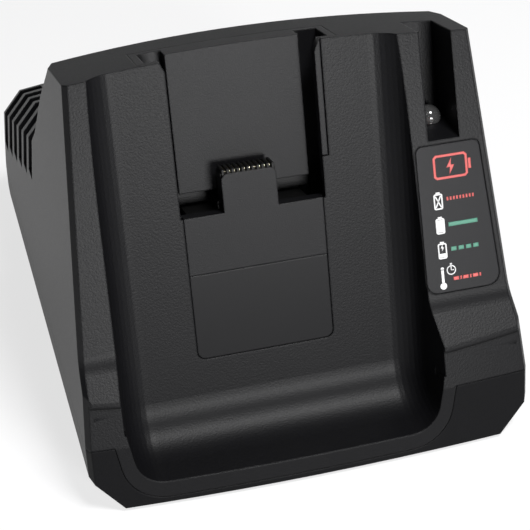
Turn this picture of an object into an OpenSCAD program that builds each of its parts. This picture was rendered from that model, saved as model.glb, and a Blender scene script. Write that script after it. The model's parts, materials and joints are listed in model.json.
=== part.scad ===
// Power tool battery charger: a tall sloped bay between two towers, with a
// louvred body behind it. Millimetres, +Z up, front towards -Y, origin at the
// bottom centre of the outline. "v" is a distance back from the front edge.

/* [Body] */
// Width across the joint between the two shells
body_w = 160; // [154:1:172]
// Depth from the chin to the back wall
body_d = 204; // [198:1:216]
// Height of the joint between the two shells
joint_z = 25; // [24:0.5:27]
// Height of the ends of the top front edge
top_z = 137; // [132:1:144]
// Rise of the crowned top at its middle
crown = 3; // [2:0.5:4]
// Lean of each side wall, in degrees
draft = 5; // [4:0.5:6]
// Slope of the tower fronts, in degrees from level
strip_slope = 68; // [67:0.5:69]
// Fall of the top towards the back, in degrees
top_fall = 15.5; // [14:0.5:17]
// Fall of the rear roof, in degrees
roof_fall = 21; // [19:0.5:22]
// Rise of the crowned roof at its middle
roof_crown = 5; // [3:0.5:6]
// Distance of the top front edge behind the chin
top_v = 57.7; // [56:0.5:60]
// Slope of the flared foot of each tower front, in degrees
flare_slope = 39; // [37:1:43]
// Height of the flared lip above the joint
lip_rise = 17.5; // [15:0.1:18.5]
// Distance of the top rear edge behind the chin
rear_top_v = 103.5; // [101:0.5:106]
// Height of the roof where it meets the back wall
roof_z = 59; // [57:0.5:62]
// Radius of the bow of the front
bow_r = 1100; // [900:50:1500]
// Wall of both shells
wall = 3; // [2.6:0.1:3.2]
// Thickness of the base floor
floor_t = 2.6; // [2.2:0.1:3]
// Gap between shells and parts that drop in
fit = 0.2; // [0.1:0.05:0.3]

/* [Bay] */
// Half of the flat width of the bay floor
bay_half = 44.2; // [42:0.2:45]
// Middle of the bay, left of the middle of the body
bay_x = -9.2; // [-10:0.2:-8]
// Distance of the bay floor behind the chin, at a height of 100
bay_v = 52; // [51:0.5:53]
// Slope of the bay floor, in degrees from level
bay_slope = 73.8; // [73:0.2:75]
// Height of the ledge that the pack stands on
ledge_z = 9.5; // [9:0.5:11]
// Fillet between the bay floor and its walls
bay_fillet = 11; // [10:0.5:12]
// Radius of the sweep from the bay floor to the ledge
sweep_r = 18; // [17:0.5:20]
// Width of the chin band around the bay mouth
band = 4.6; // [4.2:0.1:5]

/* [Rails] */
// Half of the gap between the two rail lips
rail_half = 25.8; // [25:0.1:26.5]
// Thickness of the rail lips
lip_t = 3.6; // [3.2:0.1:4]
// Reach of the rail grooves under the lips
undercut = 6; // [5:0.2:6.4]
// Depth of the raised track between the grooves
track_depth = 11; // [10:0.5:12]
// Depth of the rail grooves
groove_depth = 18; // [17:0.5:19]
// Width of each rail groove at the lip side of the track
groove_w = 2.4; // [2:0.1:3]
// Height of the lower end of the rails
rail_end_z = 90.6; // [88:0.2:92]

// Width of the bead beside the right lip
bead_w = 2; // [1.6:0.1:2.4]
// Height of the lower end of the bead
bead_z = 99.5; // [97:0.5:102]
// Height of the lead-in at the upper end of the lips
lead_h = 4; // [3:0.5:5]

/* [Contacts] */
// Height of the bottom of the seat plate
seat_z0 = 35.2; // [34:0.2:37]
// Height of the top of the seat plate
seat_z1 = 85.1; // [84:0.1:86]
// Height of the top of the label film
label_z = 65.2; // [63:0.2:67]
// Width of the contact tongue
tongue_w = 19.4; // [19:0.2:21]
// Height of the top of the contact tongue
tongue_z = 99.6; // [98:0.2:101]
// Number of contact blades
blades = 10; // [8:1:10]
// Thickness of one contact blade
blade_t = 0.7; // [0.6:0.1:0.8]

/* [Light] */
// Left edge of the light slot
slot_x0 = 51.7; // [51.2:0.1:52]
// Width of the light slot
slot_w = 11.4; // [10.8:0.2:11.8]
// Height of the ledge in the light slot
slot_z = 103.2; // [102:0.2:106]
// Diameter of the lens
lens_d = 8.8; // [8:0.1:9]
// Height of the lens above its ledge
lens_h = 4.8; // [4.6:0.1:7]

/* [Louvres] */
// Number of louvre openings on each side
louvres = 6; // [5:1:6]
// Distance from one louvre to the next
louvre_pitch = 13.2; // [12:0.2:13.4]
// Thickness of the rib between two louvres
louvre_rib = 5; // [4:0.2:6]

/* [Feet] */
// Diameter of the feet
foot_d = 15; // [13:0.5:16]
// Height of the feet below the base
foot_h = 1.5; // [1.2:0.1:2]
// Distance of each foot from the middle, across
foot_x = 66; // [62:0.5:67]

/* [Fasteners] */
// Shank diameter of the housing screws
screw_d = 4; // [3.5:0.1:4.2]
// Head diameter of the housing screws
screw_head = 7; // [6.4:0.1:7.4]
// Shank diameter of the small screws
small_d = 3; // [2.5:0.1:3]
// Head diameter of the small screws
small_head = 5.4; // [5:0.1:5.6]

/* [Inside] */
// Side of the square cooling fan
fan_side = 50; // [48:1:52]
// Depth of the cooling fan
fan_t = 15; // [14:0.5:16]
// Diameter of the fan shaft
shaft_d = 3; // [2.5:0.1:3.5]
// Running gap around the fan shaft
shaft_gap = 0.05; // [0.03:0.01:0.08]
// Thickness of the circuit boards
board_t = 1.6; // [1.2:0.1:2]
// Height of the underside of the main board
board_z = 12; // [11.5:0.25:12.5]
// Diameter of the mains cord hole
cord_d = 7.4; // [6.8:0.1:8]

/* [Hidden] */
$fn = 64;

// Shared lines of the body, as distances v behind the chin and heights z
function fy(v) = v - body_d / 2;
function cot(a) = 1 / tan(a);
base_z = foot_h;
low_lean = 10.4;
high_lean = 20;
bow = pow(body_w / 2, 2) / (2 * bow_r);
joint_v = (joint_z - base_z) * tan(low_lean);
lip_z = joint_z + lip_rise;
lip_v = joint_v + lip_rise * tan(high_lean) + bow;
big = 400;
function half_w(z) = body_w / 2 - max(0, z - joint_z) * tan(draft);
function strip_v(z) = top_v - (top_z - z) * cot(strip_slope);
function bay_floor_v(z) = bay_v + (z - 100) * cot(bay_slope);
function roof_at(v) = roof_z + (body_d - v) * tan(roof_fall);
function sill_at(v) = roof_at(v) - 26;

// Corner between the tower front and its flared foot, and its fillet
flare_r = 13.1;
lip_edge_t = 1.4;
kz = (lip_v - lip_z * cot(flare_slope) - top_v + top_z * cot(strip_slope))
    / (cot(strip_slope) - cot(flare_slope));
kv = strip_v(kz);
flare_t = flare_r * tan((strip_slope - flare_slope) / 2);
t1 = [kv - flare_t * cos(flare_slope), kz - flare_t * sin(flare_slope)];
t2 = [kv + flare_t * cos(strip_slope), kz + flare_t * sin(strip_slope)];
flare_c = [t2[0] - flare_r * sin(strip_slope), t2[1] + flare_r * cos(strip_slope)];

// Louvres and the cheek in front of them
louvre_gap = louvre_pitch - louvre_rib;
louvre_v1 = body_d - 5.4;
cheek_v = louvre_v1 - (louvres - 1) * louvre_pitch - louvre_gap + 0.01;
bevel_x = 8;
bevel_z = 10;
edge_in = 1.5;
edge_back = 2.6;
cheek_z = roof_at(cheek_v) - bevel_z;
shoulder_drop = 36;
shoulder_z = top_z - shoulder_drop;
shoulder_v = cheek_v - (shoulder_z - cheek_z);
rear_z = top_z - (rear_top_v - 17 - top_v) * tan(top_fall);

// Bay sweep
sweep_t = sweep_r * tan(bay_slope / 2);
bay_corner_v = bay_floor_v(ledge_z);
sweep_v = bay_corner_v - sweep_t;
bay_draft = 80;
function s_of(z) = z / sin(bay_slope);
sweep_s = s_of(ledge_z) + sweep_t;

// Light slot
slot_back = 14.7;
slot_wall = 2.2;
lens_x = slot_x0 + slot_w / 2;
lens_v = bay_floor_v(slot_z) + slot_back - 8;
lens_flange = 1.2;
flange_t = 1.5;
led_board_z = slot_z - slot_wall - 3.5 - board_t;
led_screw_gap = 9.6;

// Inserts
insert_flange = 2.4;
plug_t = wall;
carrier_half = rail_half + undercut + 2.6;
carrier_back = groove_depth + 2.6;
rail_x = -0.5;
bead_gap = 0.4;
lead_w = 1.8;
seat_half = rail_half - 1;
tongue_t = 8;
tongue_x = -0.75;
tongue_r = 2.4;
skin_t = 1.4;
sheet_t = wall - 1;
ear_x = carrier_half + 4;
ear_s = [s_of(rail_end_z) + 8, s_of(top_z) - 17];
seat_screw_x = seat_half + 6;
seat_screw_s = [s_of(seat_z0) + 8, s_of(seat_z1) - 12];
label_h = s_of(label_z) - s_of(seat_z0);
label_t = 0.4;
blade_pitch = tongue_w / (blades + 1);
chin_drop = 1.2;

// Fan
fan_v = 80;
fan_z = board_z + 33;
fan_x = bay_x;
fan_bore = fan_side - 4;
fan_hole = fan_side / 2 - 5;
hub_d = 20;

// Main board and its posts
board_v0 = fan_v + fan_t + 9;
board_v1 = body_d - 20;
board_half = 58;
board_post_x = 52;
board_post_v = [board_v0 + 7, board_v1 - 7];
board_top = board_z + board_t;

// Where the parts stand on the main board
core_x = -27;
core_v = board_v0 + 42;
core_h = 36;
core_leg = 7;
cap_x = 40;
cap_d = 16;
cap_h = 32;
cap_v = [board_v0 + 9, board_v0 + 26.5];
choke_x = cap_x - 2.5;
choke_v = board_v1 - 13;
choke_h = 11;
sink_x = 8;
sink_h = 34;
sink_v = [board_v0 + 14, board_v1 - 12];
transistor_v = [sink_v[0] + 7, sink_v[1] - 16];
fuse_x = -36;
fuse_v = board_v0 + 9;

// Housing screws: front pair behind the bay, rear pair in the corners
post_x = 65;
post_v = [58, body_d - 54];
post_seat = base_z + 6;
post_top = board_z + 5;
foot_v = [14.5, body_d - 34];

// Legend panel on the right tower
panel_z0 = t2[1] + 0.2;
panel_z1 = slot_z - 1.4;
panel_h = (panel_z1 - panel_z0) / sin(strip_slope);
panel_x0 = bay_x + bay_half + bay_fillet + 0.8;
panel_edge = 3.4;
panel_r = [4, 4.6, 2.4, 2.4];
panel_t = 0.8;

// Cord gland in the back wall
gland_x = 38;
gland_z = 44;
gland_d = 14;

// A prism along X from a profile in (v, z)
module along_x(points, half = big / 2) {
    translate([-half, -body_d / 2, 0])
        rotate([90, 0, 90])
            linear_extrude(2 * half)
                polygon(points);
}

// A prism along Y from a profile in (x, z)
module along_y(points, v0 = -20, v1 = big) {
    translate([0, fy(v1), 0])
        rotate([90, 0, 0])
            linear_extrude(v1 - v0)
                polygon(points);
}

// The side of the plane through three points that their normal points to
module beyond(p1, p2, p3) {
    n = cross(p3 - p1, p2 - p1);
    u = n / norm(n);
    translate(p1)
        rotate([0, acos(u[2]), atan2(u[1], u[0])])
            translate([-big / 2, -big / 2, 0])
                cube(big);
}

// Everything behind the bowed front, which leans back by the given angle
module behind_front(v0, z0, lean, ahead = 0) {
    translate([0, fy(v0 - ahead), z0])
        rotate([-lean, 0, 0])
            translate([0, bow_r, -big / 2])
                cylinder(r = bow_r, h = big, $fn = 720);
}

module rounded(w, h, r) {
    square([w - 2 * r, h], center = true);
    square([w, h - 2 * r], center = true);
    for (x = [-1, 1], y = [-1, 1])
        translate([x * (w / 2 - r), y * (h / 2 - r)])
            circle(r);
}

// Points of an arc that rounds the corner p between its neighbours a and b
function corner(p, a, b, r, n = 6) = let (
    u = (a - p) / norm(a - p),
    w = (b - p) / norm(b - p),
    h = acos(u * w) / 2,
    m = -(u + w) / norm(u + w),
    c = p - m * r / sin(h),
    mid = atan2(m[1], m[0]),
    e = (u[0] * w[1] > u[1] * w[0] ? 1 : -1) * (90 - h))
    [for (i = [0 : n]) c + r * [cos(mid + e - 2 * e * i / n),
        sin(mid + e - 2 * e * i / n)]];

function rounded_points(p, r) = [for (i = [0 : len(p) - 1])
    each corner(p[i], p[(i + len(p) - 1) % len(p)], p[(i + 1) % len(p)], r[i])];

// Frame on the bay floor: Y up the slope from floor level, Z out of the floor
module on_bay(z = 0) {
    translate([bay_x, fy(bay_floor_v(0)), 0])
        rotate([bay_slope, 0, 0])
            translate([0, s_of(z), 0])
                children();
}

// The same frame, in the middle of the rails
module on_insert(z = 0) {
    on_bay(z)
        translate([rail_x, 0, 0])
            children();
}

// Frame on the tower fronts
module on_strip(z = 0) {
    translate([0, fy(strip_v(0)), 0])
        rotate([strip_slope, 0, 0])
            translate([0, z / sin(strip_slope), 0])
                children();
}

// Half of the bay's width at a height above its floor
function wall_x(grow, height) = bay_half + (bay_fillet + grow) * sin(bay_draft)
    + (height - bay_fillet + (bay_fillet + grow) * cos(bay_draft)) * cot(bay_draft);

// Cross-section of the bay, grown by a wall: X across, Y out of the floor
module bay_profile(grow, height) {
    r = bay_fillet + grow;
    n = 8;
    right = concat([for (i = [0 : n]) let (a = -90 + i * bay_draft / n)
        [bay_half + r * cos(a), bay_fillet + r * sin(a)]],
        [[wall_x(grow, height), height]]);
    polygon(concat(right, [for (i = [len(right) - 1 : -1 : 0])
        [-right[i][0], right[i][1]]]));
}

// The bay: a straight slope, a sweep and a ledge that runs out of the front
module bay_space(grow = 0) {
    s_top = s_of(top_z + 30);
    core = 2;
    half = wall_x(grow, sweep_r);
    on_bay()
        translate([0, s_top, 0])
            rotate([90, 0, 0])
                linear_extrude(s_top - sweep_s)
                    bay_profile(grow, 75);
    translate([bay_x, fy(sweep_v), ledge_z + sweep_r])
        rotate([0, 90, 0]) {
            rotate_extrude(angle = bay_slope, $fn = 96)
                translate([sweep_r, 0])
                    rotate([0, 0, 90])
                        bay_profile(grow, sweep_r - core / 2);
            translate([0, 0, -half])
                cylinder(r = core, h = 2 * half);
        }
    intersection() {
        translate([bay_x, fy(sweep_v), ledge_z])
            rotate([90, 0, 0])
                linear_extrude(sweep_v + 30)
                    bay_profile(grow, 50);
        on_bay()
            translate([-big / 2, sweep_s + 0.6 - big, -big / 2])
                cube(big);
    }
}

// Outline of the towers and cheeks, one piece of the body
module tower_mass() {
    cheek = [[lip_v + (joint_z - lip_z) * cot(flare_slope), joint_z], t1, t2,
        [strip_v(shoulder_z), shoulder_z], [shoulder_v, shoulder_z],
        [cheek_v, cheek_z], [cheek_v, sill_at(cheek_v)],
        [body_d, sill_at(body_d)], [body_d, joint_z]];
    tower = [[t2[0], joint_z], t2, [strip_v(top_z + 20), top_z + 20],
        [160, top_z + 20], [160, joint_z]];
    difference() {
        union() {
            along_x(cheek);
            intersection() {
                along_x(tower);
                crown_mass();
                rear_slope();
            }
        }
        translate([-big / 2, fy(flare_c[0]), flare_c[1]])
            rotate([0, 90, 0])
                cylinder(r = flare_r, h = big, $fn = 180);
    }
}

// Everything under the crowned top, which falls towards the back
module crown_mass(drop = 0) {
    w = half_w(top_z);
    r = w * w / (2 * crown);
    translate([0, fy(top_v), top_z + crown - drop])
        rotate([90 - top_fall, 0, 0])
            translate([0, -r, -big / 2])
                cylinder(r = r, h = big, $fn = 720);
}

// Everything in front of the sloped back of the towers
module rear_slope(inset = 0) {
    r = big;
    translate([0, fy(rear_top_v - inset), roof_at(rear_top_v) + 24])
        rotate([32, 0, 0])
            translate([0, -r, -big / 2])
                cylinder(r = r, h = big, $fn = 720);
}

// The louvred block: a lower body under a crowned roof with bevelled shoulders
module block_mass(inset = 0) {
    front = rear_top_v - 4 + inset;
    w = half_w(roof_z) - bevel_x;
    r = w * w / (2 * roof_crown);
    difference() {
        intersection() {
            translate([0, fy(body_d), roof_z + roof_crown - inset])
                rotate([90 - roof_fall, 0, 0])
                    translate([0, -r, -big / 2])
                        cylinder(r = r, h = big, $fn = 720);
            translate([-big / 2, fy(front), joint_z - 6])
                cube([big, body_d - 2 - inset - front, big]);
        }
        for (s = [0, 1])
            mirror([s, 0, 0])
                shoulder_cut(inset);
    }
}

// Takes the shoulder off the block, from the side wall up to the roof
module shoulder_cut(inset) {
    k = inset * 1.3;
    va = body_d;
    vb = cheek_v;
    beyond([-half_w(roof_at(va) - bevel_z) + k, fy(va), roof_at(va) - bevel_z],
        [-half_w(roof_at(vb) - bevel_z) + bevel_x + k, fy(vb), roof_at(vb)],
        [-half_w(roof_at(vb) - bevel_z) + k, fy(vb), roof_at(vb) - bevel_z]);
}

// Plan outline with rounded rear corners
module plan_mass(inset = 0) {
    r = 7;
    w = body_w / 2 - inset;
    y1 = body_d / 2 - inset;
    translate([0, 0, -1])
        linear_extrude(big) {
            translate([-w, -body_d])
                square([2 * w, body_d + y1 - r]);
            translate([-w + r, 0])
                square([2 * (w - r), y1]);
            for (s = [-1, 1])
                translate([s * (w - r), y1 - r])
                    circle(r);
        }
}

// Bevels down the front edges, from the top of the towers to the joint
module edge_bevels() {
    n = 3;
    arc = [for (i = [0 : n]) let (a = strip_slope + i * (flare_slope - strip_slope) / n)
        [flare_c[0] + flare_r * sin(a), flare_c[1] - flare_r * cos(a)]];
    for (s = [0, 1])
        mirror([s, 0, 0]) {
            intersection() {
                edge_cut([strip_v(top_z + 10), top_z + 10], arc[0]);
                edge_cut(arc[0], arc[1]);
                edge_cut(arc[1], arc[2]);
                edge_cut(arc[2], arc[3]);
                edge_cut(arc[3], [lip_v, lip_z]);
            }
            edge_cut([lip_v, lip_z], [joint_v + bow, joint_z]);
        }
}

// Everything outside a bevel between two points [v, z] of the front edge
module edge_cut(a, b) {
    beyond([-half_w(a[1]) + edge_in, fy(a[0]), a[1]],
        [-half_w(b[1]) + edge_in, fy(b[0]), b[1]],
        [-half_w(b[1]), fy(b[0] + edge_back), b[1]]);
}

// Bevels between the sides and the sloped back of the towers
module rear_corner_cuts() {
    for (s = [0, 1])
        mirror([s, 0, 0])
            beyond([-half_w(rear_z) + 6, fy(rear_top_v - 4), rear_z],
                [-half_w(rear_z), fy(rear_top_v - 17), rear_z],
                [-half_w(rear_z - 25), fy(rear_top_v + 4.3), rear_z - 25]);
}

// The whole upper body before it is hollowed
module upper_mass() {
    width = [[-half_w(joint_z), joint_z], [half_w(joint_z), joint_z],
        [half_w(top_z + 20), top_z + 20], [-half_w(top_z + 20), top_z + 20]];
    difference() {
        intersection() {
            along_y(width);
            plan_mass();
            union() {
                difference() {
                    intersection() {
                        tower_mass();
                        behind_front(joint_v, joint_z, high_lean);
                    }
                    rear_corner_cuts();
                }
                // the flared feet stand just proud of the face below them
                intersection() {
                    difference() {
                        tower_mass();
                        translate([0, 0, -lip_edge_t])
                            tower_mass();
                    }
                    behind_front(joint_v, joint_z, high_lean, 0.8);
                    translate([-big / 2, -body_d / 2, kz - 12])
                        cube([big, 30, 20]);
                }
                block_mass();
            }
        }
        edge_bevels();
    }
}

// Space inside the upper shell
module upper_hollow() {
    i = wall;
    z0 = joint_z - 1;
    sv = i / sin(strip_slope);
    tz = top_z - 1.15 * i;
    zt = tz - 2;
    back_v = rear_top_v - 10;
    profile = [[joint_v + bow + i + 0.8, z0],
        [joint_v + bow + i + 0.8, lip_z - i - 4],
        [kv + 1.4 * i, kz - 0.3 * i],
        [strip_v(zt) + sv, zt],
        [back_v, tz - (back_v - top_v) * tan(top_fall)],
        [shoulder_v - 1.45 * i, shoulder_z],
        [cheek_v - 1.45 * i, cheek_z],
        [cheek_v - 1.45 * i, sill_at(cheek_v) - 1.1 * i],
        [body_d - i - 0.5, sill_at(body_d) - 1.1 * i],
        [body_d - i - 0.5, z0]];
    w0 = half_w(z0) - i;
    w1 = half_w(top_z) - i;
    width = [[-w0, z0], [w0, z0], [half_w(joint_z) - i, joint_z],
        [w1, top_z], [-w1, top_z], [-half_w(joint_z) + i, joint_z]];
    difference() {
        intersection() {
            union() {
                along_x(profile);
                block_mass(i);
            }
            along_y(width);
            plan_mass(i);
        }
        bay_space(wall);
        slot_space(slot_wall);
    }
}

// The deep light slot in the right tower, open at the top and the front
module slot_space(grow = 0) {
    z0 = slot_z - grow;
    zt = top_z + 20;
    v0 = bay_floor_v(slot_z) + slot_back + grow;
    v1 = bay_floor_v(zt) + slot_back + grow;
    translate([slot_x0 - grow, 0, 0])
        translate([slot_w / 2 + grow, 0, 0])
            along_x([[20, z0], [v0, z0], [v1, zt], [20, zt]],
                slot_w / 2 + grow);
}

// Space between and under the rail lips, drawn in the bay frame
module rail_void(s0, s1) {
    r = rail_half;
    u = rail_half + undercut;
    t = rail_half - groove_w;
    translate([0, s1, 0])
        rotate([90, 0, 0])
            linear_extrude(s1 - s0)
                polygon([[-r, 30], [-r, -lip_t], [-u, -lip_t],
                    [-u, -groove_depth], [-t, -groove_depth],
                    [-t, -track_depth], [t, -track_depth],
                    [t, -groove_depth], [u, -groove_depth],
                    [u, -lip_t], [r, -lip_t], [r, 30]]);
}

// Window in the bay floor between the rail lips, and the slot for the bead
module insert_window(gap = 0) {
    s0 = s_of(seat_z1) - gap;
    s1 = s_of(top_z + 10);
    sb = s_of(bead_z) - bead_gap;
    on_insert() {
        translate([-rail_half, s0, -wall - 1])
            cube([2 * rail_half, s1 - s0, wall + 20]);
        translate([rail_half - 1, sb, -wall - 1])
            cube([1 + bead_w + bead_gap, s1 - sb, wall + 20]);
        lead_ins();
    }
}

// Cuts that widen the gap between the lips at its upper end
module lead_ins() {
    s0 = s_of(top_z + 1.5 - lead_h);
    run = 3 * lead_h;
    slope = lead_w / lead_h;
    for (s = [0, 1])
        mirror([s, 0, 0])
            translate([0, 0, -lip_t - 1])
                linear_extrude(lip_t + 10)
                    polygon([[rail_half - 4 * slope, s0 - 4],
                        [rail_half + run * slope, s0 + run],
                        [rail_half - 4 * slope, s0 + run]]);
}

// Room behind the bay floor for the rail carrier, open at the top
module carrier_room(gap = 0) {
    h = carrier_half + gap;
    s0 = s_of(rail_end_z) - gap;
    on_insert()
        translate([-h, s0, -carrier_back - gap])
            cube([2 * h, 120, carrier_back + gap - sheet_t]);
}

// Plate outline, drawn flat: Y up the slope, only the lower corners rounded
module seat_outline(gap, h) {
    w = 2 * (seat_half + gap);
    translate([0, h / 2])
        rounded(w, h + 2 * gap, 3);
    translate([-w / 2, h / 2])
        square([w, h / 2 + gap]);
}

// Posts that take the housing screws, with a rib to the side wall
module upper_posts() {
    for (s = [-1, 1], v = post_v)
        translate([s * post_x, fy(v), 0]) {
            translate([0, 0, post_top])
                cylinder(d = 9, h = 27);
            intersection() {
                translate([s > 0 ? 0 : -20, -1.2, joint_z + 0.5])
                    cube([20, 2.4, post_top + 27 - joint_z - 0.5]);
                translate([-s * post_x, 0, 0])
                    along_y([[-half_w(joint_z) + 1, 0], [half_w(joint_z) - 1, 0],
                        [half_w(top_z) - 1, top_z], [-half_w(top_z) + 1, top_z]],
                        -200, 200);
            }
        }
}

module upper_housing() {
    color([0.13, 0.13, 0.14])
    difference() {
        union() {
            difference() {
                upper_mass();
                upper_hollow();
            }
            // walls of the bay and the chin below the joint
            intersection() {
                translate([-big / 2, -body_d, base_z])
                    cube([big, big, joint_z - base_z]);
                behind_front(0, base_z, low_lean);
                union() {
                    bay_space(wall);
                    difference() {
                        translate([0, 0, -chin_drop])
                            bay_space(band);
                        behind_front(wall + 1, base_z, low_lean);
                    }
                }
            }
            difference() {
                upper_posts();
                bay_space(wall - 0.5);
            }
            led_bosses();
        }
        bay_space();
        slot_space();
        insert_window(fit);
        carrier_room(fit);
        // opening for the seat plate
        on_insert(seat_z0)
            translate([0, 0, -wall - 1])
                linear_extrude(wall + 6)
                    seat_outline(fit, s_of(seat_z1) - s_of(seat_z0));
        // pocket for the legend panel
        on_strip(panel_z0)
            translate([0, 0, -panel_t])
                linear_extrude(10)
                    panel_outline(fit);
        // hole for the lens and holes for the small screws
        translate([lens_x, fy(lens_v), slot_z - slot_wall - 1])
            cylinder(d = lens_d + 2 * fit, h = slot_wall + 2);
        for (s = [-1, 1])
            translate([lens_x, fy(lens_v) + s * led_screw_gap, led_board_z])
                cylinder(d = small_d, h = board_t + 5);
        insert_screw_places()
            translate([0, 0, -wall - 0.01])
                cylinder(d = small_d, h = 2.2);
        // pilot holes for the housing screws
        for (s = [-1, 1], v = post_v)
            translate([s * post_x, fy(v), post_top - 1])
                cylinder(d = screw_d, h = 15);
        // louvres
        for (s = [0, 1], i = [0 : louvres - 1])
            mirror([s, 0, 0])
                louvre_cut(louvre_v1 - i * louvre_pitch);
        // cord gland hole in the back wall
        translate([gland_x, fy(body_d - 8), gland_z])
            rotate([-90, 0, 0])
                cylinder(d = gland_d, h = 20);
    }
}

// One opening that wraps up the side, over the shoulder and onto the roof
module louvre_cut(v1) {
    vm = v1 - louvre_gap / 2;
    z0 = sill_at(vm) + 0.6;
    zr = roof_at(vm);
    h = half_w(zr - bevel_z);
    run = 8;
    along_y([[-h - 10, z0], [-h + 6, z0], [-h + 6, zr - bevel_z - 3],
        [-h + bevel_x + 2, zr - 7], [-h + bevel_x + run, zr - 7],
        [-h + bevel_x + run, zr + 30], [-h - 10, zr + 30]],
        v1 - louvre_gap, v1);
}

module led_bosses() {
    for (s = [-1, 1])
        translate([lens_x, fy(lens_v) + s * led_screw_gap,
            led_board_z + board_t])
            cylinder(d = 6, h = slot_z - slot_wall - led_board_z - board_t + 1);
}

// Where the small screws hold the two inserts, from behind the bay floor
module insert_screw_places() {
    on_insert() {
        for (x = [-1, 1], s = seat_screw_s)
            translate([x * seat_screw_x, s, 0])
                children();
        for (x = [-1, 1], s = ear_s)
            translate([x * ear_x, s, 0])
                children();
    }
}

// The body below the joint, before it is hollowed
module base_mass(inset = 0) {
    b = 11;
    zb = base_z + 12.5;
    w = body_w / 2 - inset;
    z0 = base_z + (inset > 0 ? floor_t : 0);
    k = inset * 0.55;
    intersection() {
        along_y([[-w, joint_z + (inset > 0 ? 1 : 0)], [-w, zb + k],
            [-w + b * (zb + k - z0) / (zb - base_z), z0],
            [w - b * (zb + k - z0) / (zb - base_z), z0], [w, zb + k],
            [w, joint_z + (inset > 0 ? 1 : 0)]]);
        along_x([[-20, 0], [body_d - 26 - k, 0], [body_d - 26 - k, base_z],
            [body_d - inset, joint_z - 3 + k], [body_d - inset, joint_z + 2],
            [-20, joint_z + 2]]);
        plan_mass(inset);
        behind_front(inset * 1.05, base_z, low_lean);
    }
}

// Front edges of the base carry the same bevel as the shell above
module base_bevels() {
    for (s = [0, 1])
        mirror([s, 0, 0])
            edge_cut([joint_v + bow, joint_z], [bow, base_z]);
}

module base_shell() {
    color([0.1, 0.1, 0.11])
    difference() {
        union() {
            difference() {
                base_mass();
                base_mass(wall);
            }
            intersection() {
                base_mass();
                for (s = [-1, 1]) {
                    for (v = post_v)
                        translate([s * post_x, fy(v), base_z])
                            cylinder(d = 11, h = post_top - base_z);
                    for (v = foot_v)
                        translate([s * foot_x, fy(v), base_z])
                            cylinder(d = foot_d + 1, h = 6.5);
                }
            }
            for (s = [-1, 1], v = foot_v)
                translate([s * foot_x, fy(v), base_z])
                    cylinder(d = foot_d + 1, h = 6.5);
            for (s = [-1, 1], v = board_post_v)
                translate([s * board_post_x, fy(v), base_z + 1])
                    cylinder(d = 7, h = board_z - base_z - 1);
            fan_cradle();
        }
        base_bevels();
        translate([0, 0, -chin_drop])
            bay_space(band + fit);
        for (s = [-1, 1]) {
            for (v = post_v)
                translate([s * post_x, fy(v), 0]) {
                    cylinder(d = screw_head + 0.6, h = post_seat);
                    cylinder(d = screw_d + 0.4, h = post_top + 1);
                }
            for (v = foot_v)
                translate([s * foot_x, fy(v), 0])
                    cylinder(d = 6, h = base_z + 4.2);
            for (v = board_post_v)
                translate([s * board_post_x, fy(v), board_z - 6])
                    cylinder(d = small_d, h = 7);
        }
    }
}

// Two brackets on the base that the fan stands on and is screwed to
module fan_cradle() {
    zf = fan_z - fan_side / 2;
    difference() {
        for (s = [-1, 1])
            translate([fan_x + s * fan_hole - 5, fy(fan_v), base_z + 1]) {
                cube([10, fan_t + 6, zf - base_z - 1]);
                translate([0, fan_t, 0])
                    cube([10, 6, zf + 11 - base_z - 1]);
            }
        for (s = [-1, 1])
            translate([fan_x + s * fan_hole, fy(fan_v + fan_t) - 1, fan_z - fan_hole])
                rotate([-90, 0, 0])
                    cylinder(d = small_d, h = 6);
        for (s = [-1, 1])
            translate([fan_x + s * fan_hole - 2.5, fy(fan_v) - 1, base_z + floor_t + 3])
                cube([5, fan_t - 2, zf - base_z - floor_t - 6]);
    }
}

// Channel insert: lips, grooves and raised track for the sliding battery
module rail_carrier() {
    s0 = s_of(rail_end_z);
    s1 = s_of(seat_z1) - 8;
    u = rail_half + undercut;
    color([0.16, 0.16, 0.17])
    intersection() {
        on_insert()
            difference() {
                union() {
                    translate([-carrier_half, s0, -carrier_back])
                        cube([2 * carrier_half, 120, carrier_back - sheet_t - fit]);
                    // skirt that closes the view behind the tongue
                    translate([-carrier_half, s1, -carrier_back])
                        cube([2 * carrier_half, s0 - s1 + 1,
                            carrier_back - wall - insert_flange - 0.5]);
                    translate([rail_half, s_of(bead_z), -lip_t])
                        cube([bead_w, 120, lip_t]);
                    for (s = [-1, 1], t = ear_s)
                        translate([s * ear_x, t, -wall - insert_flange])
                            ear(s, carrier_half - ear_x - 1);
                }
                rail_void(s0 - 1, s0 + 130);
                translate([-u + 0.4, s1 - 1, -groove_depth + 0.4])
                    cube([2 * u - 0.8, s0 - s1 + 1, 40]);
                lead_ins();
                for (s = [-1, 1], t = ear_s)
                    translate([s * ear_x, t, -wall - insert_flange - 1])
                        cylinder(d = small_d + 0.4, h = insert_flange + 2);
            }
        crown_mass();
    }
}

// Screw ear with a straight root towards the middle
module ear(s, reach) {
    cylinder(d = 8, h = insert_flange);
    translate([s > 0 ? reach : 0, -4, 0])
        cube([-reach, 8, insert_flange]);
}

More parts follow.
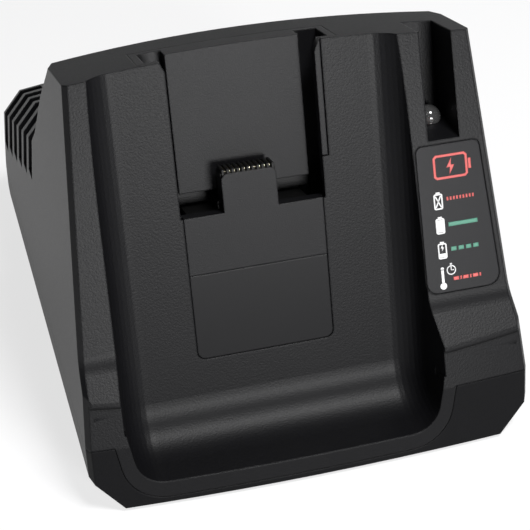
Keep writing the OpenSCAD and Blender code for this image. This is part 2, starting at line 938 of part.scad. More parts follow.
// Plate flush with the bay floor, and the skin of the contact tongue above it
module seat_plate() {
    s0 = s_of(seat_z0);
    h = s_of(seat_z1) - s0;
    skin_h = s_of(tongue_z) - s0 - 1.4 - h + 8;
    color([0.12, 0.12, 0.13])
    difference() {
        on_insert(seat_z0) {
            translate([0, 0, -wall - 0.01])
                linear_extrude(wall + 0.01)
                    seat_outline(0, h);
            translate([-seat_screw_x - 4, -3, -wall - insert_flange])
                cube([2 * seat_screw_x + 8, h + 3, insert_flange]);
            translate([tongue_x, h - 8 + skin_h / 2, -skin_t])
                linear_extrude(skin_t)
                    rounded(tongue_w, skin_h, tongue_r);
        }
        on_insert()
            for (x = [-1, 1], s = seat_screw_s)
                translate([x * seat_screw_x, s, -wall - insert_flange - 1])
                    cylinder(d = small_d + 0.4, h = insert_flange + 1.001);
        // step for the label film
        on_insert(seat_z0)
            translate([-seat_half - 5, -10, -label_t])
                cube([2 * seat_half + 10, 10 + label_h, 5]);
    }
}

module blank_label() {
    color([0.2, 0.2, 0.21])
    on_insert(seat_z0)
        translate([0, 0, -label_t])
            linear_extrude(label_t - 0.1)
                seat_outline(0, label_h - 0.15);
}

function blade_x(i) = tongue_x + (i - (blades - 1) / 2) * blade_pitch;

// Black block behind the plate, with a comb along the top of the tongue
module contact_block() {
    s0 = s_of(seat_z1);
    st = s_of(tongue_z);
    body_w2 = tongue_w / 2 + 12;
    depth = 17;
    color([0.05, 0.05, 0.05])
    on_insert()
        difference() {
            union() {
                translate([tongue_x - tongue_w / 2, s0 + 0.01, -tongue_t])
                    cube([tongue_w, st - s0 - 1.4, tongue_t - skin_t]);
                for (i = [0 : blades])
                    translate([tongue_x + (i - blades / 2) * blade_pitch
                        - (blade_pitch - blade_t - 0.2) / 2, st - 2, -tongue_t])
                        cube([blade_pitch - blade_t - 0.2, 2, tongue_t - 0.3]);
                translate([tongue_x - body_w2, s0 - 16, -depth])
                    cube([2 * body_w2, 15.5, depth - wall - insert_flange]);
                translate([tongue_x - tongue_w / 2 - 1, s0 - 2, -depth])
                    cube([tongue_w + 2, 5, depth - wall - insert_flange]);
            }
            for (i = [0 : blades - 1])
                translate([blade_x(i) - blade_t / 2 - 0.05, st - 12, -tongue_t - 1])
                    cube([blade_t + 0.1, 20, tongue_t - 1]);
        }
}

module contact_blades() {
    st = s_of(tongue_z);
    color([0.72, 0.6, 0.35])
    on_insert()
        for (i = [0 : blades - 1])
            translate([blade_x(i) - blade_t / 2, st - 12, -tongue_t])
                cube([blade_t, 11.2, tongue_t - 2.2]);
}

// Outline of the legend panel, drawn flat: its outer edge follows the side wall
module panel_outline(gap = 0) {
    x0 = panel_x0 - gap;
    h = panel_h + gap;
    xr = half_w(panel_z0) - panel_edge + gap;
    xt = half_w(panel_z1) - panel_edge + gap;
    polygon(rounded_points([[x0, -gap], [xr, -gap], [xt, h], [x0, h]], panel_r));
}

module legend_panel() {
    color([0.09, 0.09, 0.1])
    on_strip(panel_z0)
        translate([0, 0, -panel_t])
            linear_extrude(panel_t)
                panel_outline();
}

// Domed lens that stands up in the slot, held by a flange under the ledge
module led_lens() {
    zb = slot_z - slot_wall;
    r = lens_d / 2;
    color([0.95, 0.55, 0.5, 0.7])
    translate([lens_x, fy(lens_v), 0])
        rotate_extrude()
            polygon(concat([[2.8, zb - flange_t], [r + lens_flange, zb - flange_t],
                [r + lens_flange, zb], [r, zb], [r, slot_z + lens_h - r]],
                [for (a = [5 : 5 : 85]) [r * cos(a),
                    slot_z + lens_h - r + r * sin(a)]],
                [[0, slot_z + lens_h], [0, slot_z + lens_h - 3],
                [2.8, slot_z + lens_h - 5]]));
}

module status_led() {
    z = led_board_z + board_t;
    color([0.9, 0.2, 0.15])
    translate([lens_x, fy(lens_v), z])
        rotate_extrude()
            polygon(concat([[0, 0], [2.6, 0], [2.6, 1], [2.5, 1], [2.5, 4]],
                [for (a = [10 : 10 : 80]) [2.5 * cos(a), 4 + 2.5 * sin(a)]],
                [[0, 6.5]]));
}

module led_board() {
    color([0.1, 0.35, 0.2])
    difference() {
        translate([lens_x - slot_w / 2 + 0.3, fy(lens_v) - led_screw_gap - 3.5,
            led_board_z])
            cube([slot_w - 0.6, 2 * led_screw_gap + 7, board_t]);
        for (s = [-1, 1])
            translate([lens_x, fy(lens_v) + s * led_screw_gap, led_board_z - 1])
                cylinder(d = small_d + 0.4, h = board_t + 2);
    }
}

module main_board() {
    color([0.1, 0.35, 0.2])
    difference() {
        translate([-board_half, fy(board_v0), board_z])
            cube([2 * board_half, board_v1 - board_v0, board_t]);
        for (s = [-1, 1], v = board_post_v)
            translate([s * board_post_x, fy(v), board_z - 1])
                cylinder(d = small_d + 0.4, h = board_t + 2);
    }
}

module transformer_core() {
    color([0.2, 0.2, 0.21])
    translate([core_x, fy(core_v), board_top])
        difference() {
            translate([-22, -8, 0])
                cube([44, 16, core_h]);
            for (s = [-1, 1])
                translate([s > 0 ? 7 : -15, -9, core_leg])
                    cube([8, 18, core_h - 2 * core_leg]);
        }
}

module transformer_winding() {
    color([0.85, 0.72, 0.2])
    translate([core_x, fy(core_v), board_top + core_leg])
        difference() {
            linear_extrude(core_h - 2 * core_leg - 0.4)
                difference() {
                    union() {
                        rounded(29.2, 33, 0.6);
                        for (s = [-1, 1])
                            translate([0, s * 14])
                                rounded(29.2, 5, 2);
                    }
                    square([14.6, 16.6], center = true);
                }
            for (s = [-1, 1])
                translate([-20, s * 17 - 1.5, 9])
                    cube([40, 3, 3]);
        }
}

module filter_capacitors() {
    r = cap_d / 2;
    color([0.15, 0.2, 0.4])
    for (v = cap_v)
        translate([cap_x, fy(v), board_top])
            rotate_extrude()
                polygon([[0, 0], [r - 0.4, 0], [r, 0.4], [r, 3.4], [r - 0.5, 4],
                    [r, 4.6], [r, cap_h - 0.5], [r - 0.5, cap_h],
                    [r - 1.6, cap_h], [r - 1.6, cap_h - 0.4], [0, cap_h - 0.4]]);
}

module line_choke() {
    color([0.7, 0.4, 0.2])
    translate([choke_x, fy(choke_v), board_top + choke_h / 2])
        difference() {
            rotate_extrude()
                translate([8.2, 0])
                    rounded(6.6, choke_h, 1.8);
            for (a = [0 : 30 : 330])
                rotate([0, 0, a])
                    translate([11.1, -0.4, -choke_h])
                        cube([1, 0.8, 2 * choke_h]);
        }
}

module heat_sink() {
    color([0.7, 0.71, 0.73])
    translate([sink_x, fy(sink_v[0]), board_top]) {
        cube([3, sink_v[1] - sink_v[0], sink_h]);
        for (i = [0 : 4])
            translate([2.9, 0, 3 + i * 7])
                cube([10, sink_v[1] - sink_v[0], 1.6]);
    }
}

// Two flat packages on the bare side of the heat sink, legs to the board
module power_transistors() {
    color([0.08, 0.08, 0.09])
    for (v = transistor_v)
        translate([sink_x, fy(v), board_top]) {
            translate([-4.4, 0, 12])
                cube([4.4, 10, 9]);
            translate([-1.3, 0, 20.9])
                cube([1.3, 10, 6.5]);
            for (i = [0 : 2])
                translate([-2.6, 1.9 + i * 2.6, 0])
                    cube([0.6, 1, 12.1]);
        }
}

module mains_fuse() {
    color([0.8, 0.8, 0.78])
    translate([fuse_x, fy(fuse_v), board_top]) {
        for (s = [-1, 1])
            translate([s > 0 ? 7.5 : -12.5, -3.4, 0])
                cube([5, 6.8, 3]);
        translate([-11, 0, 5])
            rotate([0, 90, 0])
                cylinder(d = 5, h = 22);
        for (s = [-1, 1])
            translate([s > 0 ? 7.5 : -12.5, 0, 5])
                rotate([0, 90, 0])
                    cylinder(d = 6, h = 5);
    }
}

// Bush in the back wall, bored for the mains cord
module cord_bush() {
    v1 = body_d - 2;
    rb = cord_d / 2;
    color([0.04, 0.04, 0.04])
    translate([gland_x, fy(v1), gland_z])
        rotate([-90, 0, 0])
            rotate_extrude()
                polygon([[rb, -9], [gland_d / 2 - 1, -9],
                    [gland_d / 2 + 1.6, -wall - 2], [gland_d / 2 + 1.6, -wall],
                    [gland_d / 2, -wall], [gland_d / 2, 0],
                    [gland_d / 2 + 2, 0], [gland_d / 2 + 2, 1.2],
                    [gland_d / 2 + 1.2, 2], [rb, 2]]);
}

// Square fan frame; its axis points back
module fan_frame() {
    color([0.06, 0.06, 0.06])
    translate([fan_x, fy(fan_v), fan_z])
        rotate([-90, 0, 0])
            difference() {
                union() {
                    difference() {
                        linear_extrude(fan_t)
                            rounded(fan_side, fan_side, 3);
                        translate([0, 0, -1])
                            cylinder(d = fan_bore, h = fan_t + 2);
                    }
                    for (a = [45 : 90 : 315])
                        rotate([0, 0, a])
                            translate([0, -1.2, fan_t - 2.5])
                                cube([fan_bore / 2 + 1, 2.4, 2.5]);
                    translate([0, 0, fan_t - 2.5])
                        cylinder(d = hub_d, h = 2.5);
                    translate([0, 0, fan_t - 5])
                        cylinder(d = 8, h = 5);
                }
                translate([0, 0, -1])
                    cylinder(d = shaft_d + 2 * shaft_gap, h = fan_t + 2);
                for (x = [-1, 1], y = [-1, 1])
                    translate([x * fan_hole, y * fan_hole, -1])
                        cylinder(d = small_d + 0.6, h = fan_t + 2);
            }
}

module fan_rotor() {
    color([0.08, 0.08, 0.09])
    translate([fan_x, fy(fan_v), fan_z])
        rotate([-90, 0, 0]) {
            difference() {
                translate([0, 0, 1])
                    cylinder(d = hub_d, h = fan_t - 6.5);
                translate([0, 0, 2.6])
                    cylinder(d = hub_d - 3, h = fan_t);
            }
            translate([0, 0, 2])
                cylinder(d = shaft_d, h = fan_t - 2.5);
            for (a = [0 : 360 / 7 : 359])
                rotate([0, 0, a])
                    translate([hub_d / 2 - 0.6, 0, 1 + (fan_t - 6.5) / 2])
                        rotate([38, 0, 0])
                            translate([0, -0.6, -4.6])
                                cube([fan_bore / 2 - hub_d / 2 - 1.4, 1.2, 9.2]);
        }
}

// A pan-head screw that points along +Z, its shoulder at the origin
module screw(d, head, length, head_h) {
    difference() {
        translate([0, 0, -head_h])
            cylinder(d = head, h = head_h);
        for (a = [0, 90])
            rotate([0, 0, a])
                translate([-head * 0.3, -0.35, -head_h - 1])
                    cube([head * 0.6, 0.7, 1.8]);
    }
    cylinder(d = d - 0.02, h = length);
}

module fan_screws() {
    color([0.75, 0.76, 0.78])
    for (s = [-1, 1])
        translate([fan_x + s * fan_hole, fy(fan_v), fan_z - fan_hole])
            rotate([-90, 0, 0])
                screw(small_d, small_head, fan_t + 4.6, 2);
}

module board_screws() {
    color([0.75, 0.76, 0.78])
    for (s = [-1, 1], v = board_post_v)
        translate([s * board_post_x, fy(v), board_top])
            rotate([180, 0, 0])
                screw(small_d, small_head, board_t + 5.4, 2);
}

module led_board_screws() {
    color([0.75, 0.76, 0.78])
    for (s = [-1, 1])
        translate([lens_x, fy(lens_v) + s * led_screw_gap, led_board_z])
            screw(small_d, small_head, board_t + 4.6, 2);
}

module insert_screws() {
    color([0.75, 0.76, 0.78])
    insert_screw_places()
        translate([0, 0, -wall - insert_flange])
            screw(small_d, small_head, insert_flange + 2, 2);
}

module housing_screws() {
    color([0.3, 0.3, 0.32])
    for (s = [-1, 1], v = post_v)
        translate([s * post_x, fy(v), post_seat])
            screw(screw_d, screw_head, post_top - post_seat + 12, 3);
}

module rubber_feet() {
    color([0.03, 0.03, 0.03])
    for (s = [-1, 1], v = foot_v)
        translate([s * foot_x, fy(v), 0])
            rotate_extrude()
                polygon([[0, 0], [foot_d / 2 - 0.5, 0], [foot_d / 2, 0.5],
                    [foot_d / 2, base_z], [2.98, base_z],
                    [2.98, base_z + 3.6], [2.6, base_z + 4], [0, base_z + 4]]);
}

upper_housing();
base_shell();
rail_carrier();
seat_plate();
blank_label();
contact_block();
contact_blades();
legend_panel();
led_lens();
status_led();
led_board();
main_board();
transformer_core();
transformer_winding();
filter_capacitors();
line_choke();
heat_sink();
power_transistors();
mains_fuse();
cord_bush();
fan_frame();
fan_rotor();
fan_screws();
board_screws();
led_board_screws();
insert_screws();
housing_screws();
rubber_feet();
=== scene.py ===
# %% [markdown]
# # Power tool battery charger
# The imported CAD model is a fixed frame: every part already sits at its real
# size and place, in metres. This lesson gives the parts their finish, prints the
# legend on the right tower and lights it all.

import json
import math

import bmesh
import bpy
from mathutils import Matrix, Vector


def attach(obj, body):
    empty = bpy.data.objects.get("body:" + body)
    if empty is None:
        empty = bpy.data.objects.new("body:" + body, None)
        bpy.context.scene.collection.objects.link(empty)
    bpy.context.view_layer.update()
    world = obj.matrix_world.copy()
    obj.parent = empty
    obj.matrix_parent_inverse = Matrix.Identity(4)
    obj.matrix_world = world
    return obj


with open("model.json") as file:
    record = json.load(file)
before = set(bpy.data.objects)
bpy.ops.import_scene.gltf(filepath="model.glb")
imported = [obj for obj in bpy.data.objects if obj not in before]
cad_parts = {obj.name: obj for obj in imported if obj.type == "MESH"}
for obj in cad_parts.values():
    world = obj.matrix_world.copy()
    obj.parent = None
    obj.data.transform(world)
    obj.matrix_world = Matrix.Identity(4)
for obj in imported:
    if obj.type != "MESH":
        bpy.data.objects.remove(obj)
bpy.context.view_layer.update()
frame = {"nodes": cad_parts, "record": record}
nodes = frame["nodes"]
scene = bpy.context.scene
print("parts in the frame:", len(nodes))

# %% [markdown]
# ## Camera
# A long lens looks down from the front left. Its place and turn are written as
# a target, two angles, a distance and a small roll, so each can be read alone.

# %% Aim the camera
aim = Vector((-0.00956, -0.0673, 0.070))
azimuth, elevation, roll = (math.radians(a) for a in (-15.10, 35.16, 0.81))
distance = 0.55399
sensor_mm = 36
picture_px = 530
focal_px = 1615.21
back = Vector((math.sin(azimuth) * math.cos(elevation),
               -math.cos(azimuth) * math.cos(elevation), math.sin(elevation)))
right = Vector((math.cos(azimuth), math.sin(azimuth), 0))
up = back.cross(right)
lens = bpy.data.cameras.new("camera")
lens.sensor_width = sensor_mm
lens.lens = sensor_mm * focal_px / picture_px
lens.clip_start = 0.01
camera = bpy.data.objects.new("camera", lens)
scene.collection.objects.link(camera)
turn = Matrix((math.cos(roll) * right - math.sin(roll) * up,
               math.sin(roll) * right + math.cos(roll) * up, back)).transposed()
camera.matrix_world = Matrix.Translation(aim + distance * back) @ turn.to_4x4()
scene.camera = camera
print("camera stands at", [round(c, 3) for c in camera.location])

# %% [markdown]
# ## Shader maths as expressions
# A material is a sheet of nodes joined by links. Two small classes let the rest
# of the lesson write that sheet as Python: an expression on values adds its own
# Math nodes, and every other node comes from one method.

# %% Values and sheets
class Value:
    """One output socket that Python operators can use."""

    def __init__(self, sheet, socket):
        self.sheet, self.socket = sheet, socket

    def _maths(self, operation, other):
        return self.sheet.node("ShaderNodeMath", {"operation": operation},
                               {0: self, 1: other})["Value"]

    def __add__(self, other):
        return self._maths("ADD", other)

    def __sub__(self, other):
        return self._maths("SUBTRACT", other)

    def __mul__(self, other):
        return self._maths("MULTIPLY", other)

    __radd__, __rmul__ = __add__, __mul__

    def __rsub__(self, other):
        return self * -1 + other


class Sheet:
    """The node sheet of one material or world."""

    def __init__(self, owner):
        owner.use_nodes = True
        self.tree = owner.node_tree
        self.tree.nodes.clear()

    def node(self, kind, settings=None, sockets=None):
        """Adds a node, sets its settings, then fills its sockets, which are
        named or counted. Returns its outputs by name and by place."""
        made = self.tree.nodes.new(kind)
        for key, value in (settings or {}).items():
            setattr(made, key, value)
        for key, value in (sockets or {}).items():
            if isinstance(value, Value):
                self.tree.links.new(value.socket, made.inputs[key])
            else:
                made.inputs[key].default_value = value
        found = {}
        for place, out in enumerate(made.outputs):
            found[place] = Value(self, out)
            if out.enabled:
                found[out.name] = found[place]
        return found


print("operators: + - *")

# %% [markdown]
# ## Light
# Black plastic shows little but what it reflects, so the lamps are large and
# soft: their size and place decide which faces look bright. The low lamp draws
# the slanted fronts, and the high one the sweep and the flares. The world is
# one dim grey for every ray, which keeps the recesses dark.

# %% Light the room
scene.view_settings.view_transform = "Standard"
world = bpy.data.worlds.new("studio")
scene.world = world
air = Sheet(world)
world_grey, world_strength = (0.95, 0.97, 1.0, 1), 0.12
grey_sky = air.node("ShaderNodeBackground", {},
                    {"Color": world_grey, "Strength": world_strength})
air.node("ShaderNodeOutputWorld", {}, {"Surface": grey_sky["Background"]})
lamp_target = Vector((0, -0.02, 0.07))


def softbox(name, place, size, watts):
    """A rectangular area lamp that faces the charger."""
    lamp = bpy.data.lights.new(name, "AREA")
    lamp.shape = "RECTANGLE"
    lamp.size, lamp.size_y = size
    lamp.energy = watts
    made = bpy.data.objects.new(name, lamp)
    scene.collection.objects.link(made)
    made.location = place
    away = Vector(place) - lamp_target
    made.rotation_euler = away.to_track_quat("Z", "Y").to_euler()


softbox("low_lamp", (0.26, -1.36, 0.36), (0.34, 0.22), 17)
softbox("high_lamp", (0.25, -0.48, 1.14), (0.36, 0.26), 16)
softbox("rear_lamp", (0.5, 1.3, 1.2), (0.8, 0.4), 0.8)
print("lamps:", len(bpy.data.lights))

# %% [markdown]
# ## Floor
# The charger stands on a wide sheet of pale paper. To the eye, and in a glossy
# or clear surface, most of the paper's brightness is a plain glow, so it stays
# pale without more light on the object. The rest is lit, and keeps the shadow.

# %% Lay the floor
floor_half_side = 4
glow_share = 0.72
ground = bmesh.new()
bmesh.ops.create_grid(ground, x_segments=1, y_segments=1, size=floor_half_side)
floor_mesh = bpy.data.meshes.new("floor")
ground.to_mesh(floor_mesh)
ground.free()
floor = bpy.data.objects.new("floor", floor_mesh)
scene.collection.objects.link(floor)
floor_paint = bpy.data.materials.new("floor_paint")
paper = Sheet(floor_paint)
floor_ray = paper.node("ShaderNodeLightPath")
card = paper.node("ShaderNodeBsdfDiffuse", {}, {"Color": (0.86, 0.86, 0.87, 1)})
glow = paper.node("ShaderNodeEmission", {}, {"Color": (1, 1, 1, 1), "Strength": 1.0})
seen = (floor_ray["Is Camera Ray"] + floor_ray["Is Glossy Ray"]
        + floor_ray["Is Transmission Ray"])
lit = paper.node("ShaderNodeMixShader", {},
                 {0: seen * glow_share, 1: card["BSDF"], 2: glow["Emission"]})
paper.node("ShaderNodeOutputMaterial", {}, {"Surface": lit["Shader"]})
floor_mesh.materials.append(floor_paint)
print("floor side in metres:", 2 * floor_half_side)

# %% [markdown]
# ## Finishes
# Moulded plastic has three scales: a spark-eroded grain of well under a
# millimetre, a faint mottle where the melt flowed, and an edge that is never
# quite sharp. The grain and the mottle are noise on Object coordinates, which
# are metres here, so they have their real size on every part. A Bevel node
# rounds the edge in the shading alone.

# %% A helper for finishes
grain_depth = 0.0002
edge_samples = 4
grained_swing, smooth_swing = 0.12, 0.04


def finish(name, colour, roughness, metallic=0.0, grain=0.0, grain_size=0.0004,
           mottle=0.0, mottle_size=0.02, coat=0.0, specular=0.5,
           transmission=0.0, rounding=0.0006):
    """A plastic, metal or rubber with grain, mottle and soft edges."""
    material = bpy.data.materials.new(name)
    sheet = Sheet(material)
    place = sheet.node("ShaderNodeTexCoord")["Object"]
    speck = sheet.node("ShaderNodeTexNoise", {}, {
        "Vector": place, "Scale": 1 / grain_size, "Detail": 2.0,
        "Roughness": 0.6})[0]
    cloud = sheet.node("ShaderNodeTexNoise", {}, {
        "Vector": place, "Scale": 1 / mottle_size, "Detail": 3.0})[0]
    shade = (speck - 0.5) * mottle + (cloud - 0.5) * (mottle / 2) + 1.0
    grey = sheet.node("ShaderNodeCombineColor", {}, {0: shade, 1: shade, 2: shade})
    # a Mix node's colour sockets share their names with its number sockets
    tint = sheet.node("ShaderNodeMix", {"data_type": "RGBA", "blend_type": "MULTIPLY"},
                      {0: 1.0, 6: (*colour, 1), 7: grey["Color"]})[2]
    rough = (speck - 0.5) * (grained_swing if grain else smooth_swing) + roughness
    normal = sheet.node("ShaderNodeBevel", {"samples": edge_samples},
                        {"Radius": rounding})["Normal"]
    if grain:
        normal = sheet.node("ShaderNodeBump", {}, {
            "Strength": grain, "Distance": grain_depth, "Height": speck,
            "Normal": normal})["Normal"]
    skin = sheet.node("ShaderNodeBsdfPrincipled", {}, {
        "Base Color": tint, "Roughness": rough, "Metallic": metallic,
        "Coat Weight": coat, "Specular IOR Level": specular,
        "Transmission Weight": transmission, "Normal": normal})
    sheet.node("ShaderNodeOutputMaterial", {}, {"Surface": skin["BSDF"]})
    return material


print("grain depth in metres:", grain_depth)

# %% [markdown]
# ## What each part is made of
# The two shells are coarse grained black plastic, and the plate and the slide
# are finer. Films are smooth. The parts inside have the colours of their trade:
# a green board, yellow tape, bare metal. Each part has a material slot in the
# record, and takes the finish of that name.

# %% Give each part its finish
looks = {
    "housing_plastic": dict(colour=(0.0036, 0.0036, 0.0042), roughness=0.42,
                            grain=0.35, grain_size=0.0007, mottle=0.5,
                            specular=0.13, rounding=0.0009),
    "base_plastic": dict(colour=(0.0030, 0.0030, 0.0035), roughness=0.43,
                         grain=0.35, grain_size=0.0007, mottle=0.4,
                         specular=0.085, rounding=0.0009),
    "insert_plastic": dict(colour=(0.0048, 0.0048, 0.0055), roughness=0.42,
                           grain=0.25, mottle=0.4, specular=0.14),
    "contact_plastic": dict(colour=(0.003, 0.003, 0.003), roughness=0.38,
                            grain=0.1, specular=0.15),
    "contact_metal": dict(colour=(0.78, 0.70, 0.52), roughness=0.3, metallic=1.0),
    "label_film": dict(colour=(0.0042, 0.0042, 0.0048), roughness=0.33,
                       mottle=0.15, specular=0.13),
    "legend_film": dict(colour=(0.0052, 0.0052, 0.0062), roughness=0.42,
                        grain=0.15, specular=0.13),
    "lens_plastic": dict(colour=(0.20, 0.20, 0.20), roughness=0.10, coat=0.4,
                         transmission=0.85),
    "led_resin": dict(colour=(0.5, 0.06, 0.04), roughness=0.2),
    "circuit_board": dict(colour=(0.02, 0.14, 0.05), roughness=0.35, mottle=0.2),
    "ferrite": dict(colour=(0.05, 0.05, 0.052), roughness=0.7, grain=0.3),
    "winding": dict(colour=(0.75, 0.52, 0.06), roughness=0.35),
    "capacitor_sleeve": dict(colour=(0.02, 0.03, 0.10), roughness=0.25, coat=0.4),
    "choke_wire": dict(colour=(0.45, 0.13, 0.04), roughness=0.3, coat=0.5),
    "sink_metal": dict(colour=(0.66, 0.67, 0.69), roughness=0.35, metallic=1.0),
    "package_resin": dict(colour=(0.015, 0.015, 0.015), roughness=0.55, grain=0.1),
    "fuse_glass": dict(colour=(0.75, 0.74, 0.70), roughness=0.3),
    "fan_plastic": dict(colour=(0.008, 0.008, 0.008), roughness=0.45, grain=0.1,
                        specular=0.3),
    "screw_metal": dict(colour=(0.58, 0.58, 0.60), roughness=0.32, metallic=1.0),
    "black_screw_metal": dict(colour=(0.03, 0.03, 0.03), roughness=0.4, metallic=0.6),
    "bush_rubber": dict(colour=(0.014, 0.014, 0.014), roughness=0.7, grain=0.2),
    "foot_rubber": dict(colour=(0.018, 0.018, 0.018), roughness=0.8, grain=0.3),
}
finishes = {name: finish(name, **look) for name, look in looks.items()}
for row in frame["record"]["subparts"]:
    mesh = nodes[row["node"]].data
    mesh.materials.clear()
    mesh.materials.append(finishes[row["material_slot"]])
print("finishes:", len(finishes))

# %% [markdown]
# ## Printed legend
# On the real part the legend is screen printed on a film: thin ink, a tenth of a
# millimetre thick. Each mark starts as a flat outline, is thickened by an
# extrusion, and lies on the film of the right tower. Places on the film are in
# millimetres, x across and z up, as on the charger itself.

# %% The plane of the film
mm = 0.001
slope = math.radians(68)
tower_top, tower_depth, half_depth = 137 * mm, 57.7 * mm, 102 * mm
film = Matrix(((1, 0, 0), (0, math.cos(slope), -math.sin(slope)),
               (0, math.sin(slope), math.cos(slope)))).to_4x4()
film.translation = Vector((0, tower_depth - tower_top / math.tan(slope) - half_depth, 0))
ink_thickness = 0.1 * mm


def at(x, z):
    """A place on the film, from millimetres across and millimetres high."""
    return Vector((x * mm, z * mm / math.sin(slope), 0))


print("film origin:", [round(c, 4) for c in film.translation])

# %% [markdown]
# ## Flat marks
# Every mark is one of a few outlines: a bar, a dot, a stroke, a battery or a
# flash. An outline becomes a face, and an inset of that face leaves a ring.

# %% Draw flat marks
def lay(sheet, outline, ring=0.0):
    """Adds one flat outline to a bmesh, or its border alone as a ring."""
    corners = [sheet.verts.new(place) for place in outline]
    face = bmesh.ops.contextual_create(sheet, geom=corners)["faces"][0]
    if ring:
        bmesh.ops.inset_region(sheet, faces=[face], thickness=ring * mm,
                               use_boundary=True, use_even_offset=True)
        bmesh.ops.delete(sheet, geom=[face], context="FACES_ONLY")


def bar(sheet, x0, x1, z, height):
    """An upright bar that is centred on a height."""
    low, high = z - height / 2, z + height / 2
    lay(sheet, [at(x0, low), at(x1, low), at(x1, high), at(x0, high)])


def disc(sheet, x, z, radius, ring=0.0, corners=28):
    """A round dot, or a ring."""
    turns = (math.tau * i / corners for i in range(corners))
    lay(sheet, [at(x, z) + radius * mm * Vector((math.cos(a), math.sin(a), 0))
                for a in turns], ring)


def line(sheet, start, end, width):
    """A straight stroke between two places."""
    along = (end - start).normalized()
    side = Vector((-along.y, along.x, 0)) * width * mm / 2
    lay(sheet, [start - side, end - side, end + side, start + side])


def frame_ring(sheet, x0, x1, z0, z1, cut_x, cut_z, stroke):
    """A frame with cut corners."""
    lay(sheet, [at(x0 + cut_x, z0), at(x1 - cut_x, z0), at(x1, z0 + cut_z),
                at(x1, z1 - cut_z), at(x1 - cut_x, z1), at(x0 + cut_x, z1),
                at(x0, z1 - cut_z), at(x0, z0 + cut_z)], stroke)


def bolt(sheet, x, z, size):
    """A lightning flash."""
    shape = [(0.18, 1.0), (-0.55, -0.12), (-0.08, -0.12), (-0.18, -1.0),
             (0.55, 0.14), (0.08, 0.14)]
    lay(sheet, [at(x + size * a, z + size * b) for a, b in shape])


def print_marks(name, sheet, colour):
    """Thickens the marks, puts them on the film and inks them."""
    raised = bmesh.ops.extrude_face_region(sheet, geom=sheet.faces[:])["geom"]
    bmesh.ops.translate(sheet, vec=(0, 0, ink_thickness),
                        verts=[v for v in raised if isinstance(v, bmesh.types.BMVert)])
    bmesh.ops.recalc_face_normals(sheet, faces=sheet.faces[:])
    bmesh.ops.transform(sheet, matrix=film, verts=sheet.verts[:])
    ink_mesh = bpy.data.meshes.new(name)
    sheet.to_mesh(ink_mesh)
    sheet.free()
    piece = bpy.data.objects.new(name, ink_mesh)
    scene.collection.objects.link(piece)
    ink_mesh.materials.append(finish(name + "_ink", colour, 0.45, mottle=0.25,
                                     mottle_size=0.004))
    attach(piece, "charger")
    print(name, "faces:", len(ink_mesh.polygons))


# %% [markdown]
# ## White pictograms
# Four plain signs stand in a column: a crossed battery, a full one, one that is
# charging, and a thermometer with a clock. They are generic signs for the four
# states of any charger.

# %% Print the white pictograms
sign_x = 53.4
fault_z, full_z, charging_z, heat_z = 83.3, 75.2, 66.9, 58.6
cell_half_width, cell_half_height, cell_cut, cell_stroke = 1.65, 2.6, 0.45, 0.5
terminal_half_width, terminal_rise, terminal_height = 0.7425, 0.28, 0.5
charge_half_width = 1.1
cross_half_width, cross_half_height, cross_stroke = 1.0, 1.9, 0.45
white_marks = bmesh.new()
for z in (fault_z, full_z, charging_z):
    frame_ring(white_marks, sign_x - cell_half_width, sign_x + cell_half_width,
               z - cell_half_height, z + cell_half_height, cell_cut, cell_cut,
               cell_stroke)
    bar(white_marks, sign_x - terminal_half_width, sign_x + terminal_half_width,
        z + cell_half_height + terminal_rise, terminal_height)
for lean in (1, -1):
    line(white_marks,
         at(sign_x - lean * cross_half_width, fault_z - cross_half_height),
         at(sign_x + lean * cross_half_width, fault_z + cross_half_height),
         cross_stroke)
for z, height in ((full_z, 4.0), (charging_z - 1.4, 1.2)):
    bar(white_marks, sign_x - charge_half_width, sign_x + charge_half_width, z, height)
bolt(white_marks, sign_x, charging_z + 1.1, 1.15)
bulb_x, clock_x, clock_z, hand_stroke = 52.7, 56.0, 60.2, 0.34
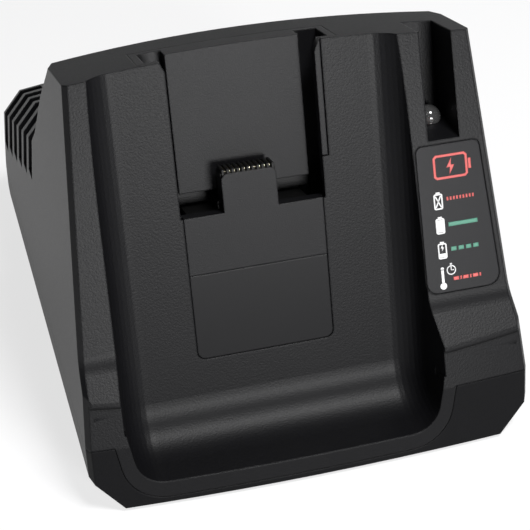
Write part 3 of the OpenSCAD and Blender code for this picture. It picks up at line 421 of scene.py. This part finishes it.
disc(white_marks, bulb_x, heat_z - 3.4, 1.25)
bar(white_marks, bulb_x - 0.5, bulb_x + 0.5, heat_z, 5.0)
disc(white_marks, bulb_x, heat_z + 2.4, 0.62, corners=16)
disc(white_marks, clock_x, clock_z, 1.75, ring=0.36)
line(white_marks, at(clock_x, clock_z), at(clock_x, clock_z + 1.4), hand_stroke)
line(white_marks, at(clock_x, clock_z), at(clock_x + 1, clock_z), hand_stroke)
bar(white_marks, clock_x - 0.4, clock_x + 0.4, clock_z + 2.05, 0.5)
print_marks("legend_white_marks", white_marks, (0.62, 0.62, 0.62))

# %% [markdown]
# ## Coloured bars and the charge sign
# Beside each pictogram a row of bars shows how the light blinks in that state:
# dots, dashes or a steady line. A large battery with a flash heads the panel.

# %% Print the coloured marks
red_marks = bmesh.new()
dot_x, dot_width, dot_pitch, red_height = 56.5, 0.65, 1.18, 1.15
for i in range(9):
    bar(red_marks, dot_x + i * dot_pitch, dot_x + dot_width + i * dot_pitch,
        fault_z + 0.6, red_height)
dash_x, pair_pitch, heat_bars_z = 56.6, 3.6, 57.2
for i in range(3):
    for offset, width in ((0.0, 2.0), (2.5, 0.6)):
        start = dash_x + i * pair_pitch + offset
        bar(red_marks, start, start + width, heat_bars_z, red_height)
head_left, head_right, head_low, head_high = 52.6, 65.2, 90.4, 98.4
head_x, head_z = (head_left + head_right) / 2, (head_low + head_high) / 2
frame_ring(red_marks, head_left, head_right, head_low, head_high, 1.0, 0.9, 0.85)
bar(red_marks, head_right + 0.25, head_right + 1.25, head_z, 3.4)
bolt(red_marks, head_x, head_z, 2.7)
print_marks("legend_red_marks", red_marks, (0.42, 0.040, 0.035))

green_marks = bmesh.new()
green_left, green_right, green_height = 56.4, 67.2, 1.35
bar(green_marks, green_left, green_right, full_z + 0.2, green_height)
dash_width, dash_pitch = 2.0, 2.75
for i in range(4):
    start = dash_x + i * dash_pitch
    bar(green_marks, start, start + dash_width, charging_z + 0.3, green_height)
print_marks("legend_green_marks", green_marks, (0.012, 0.14, 0.085))
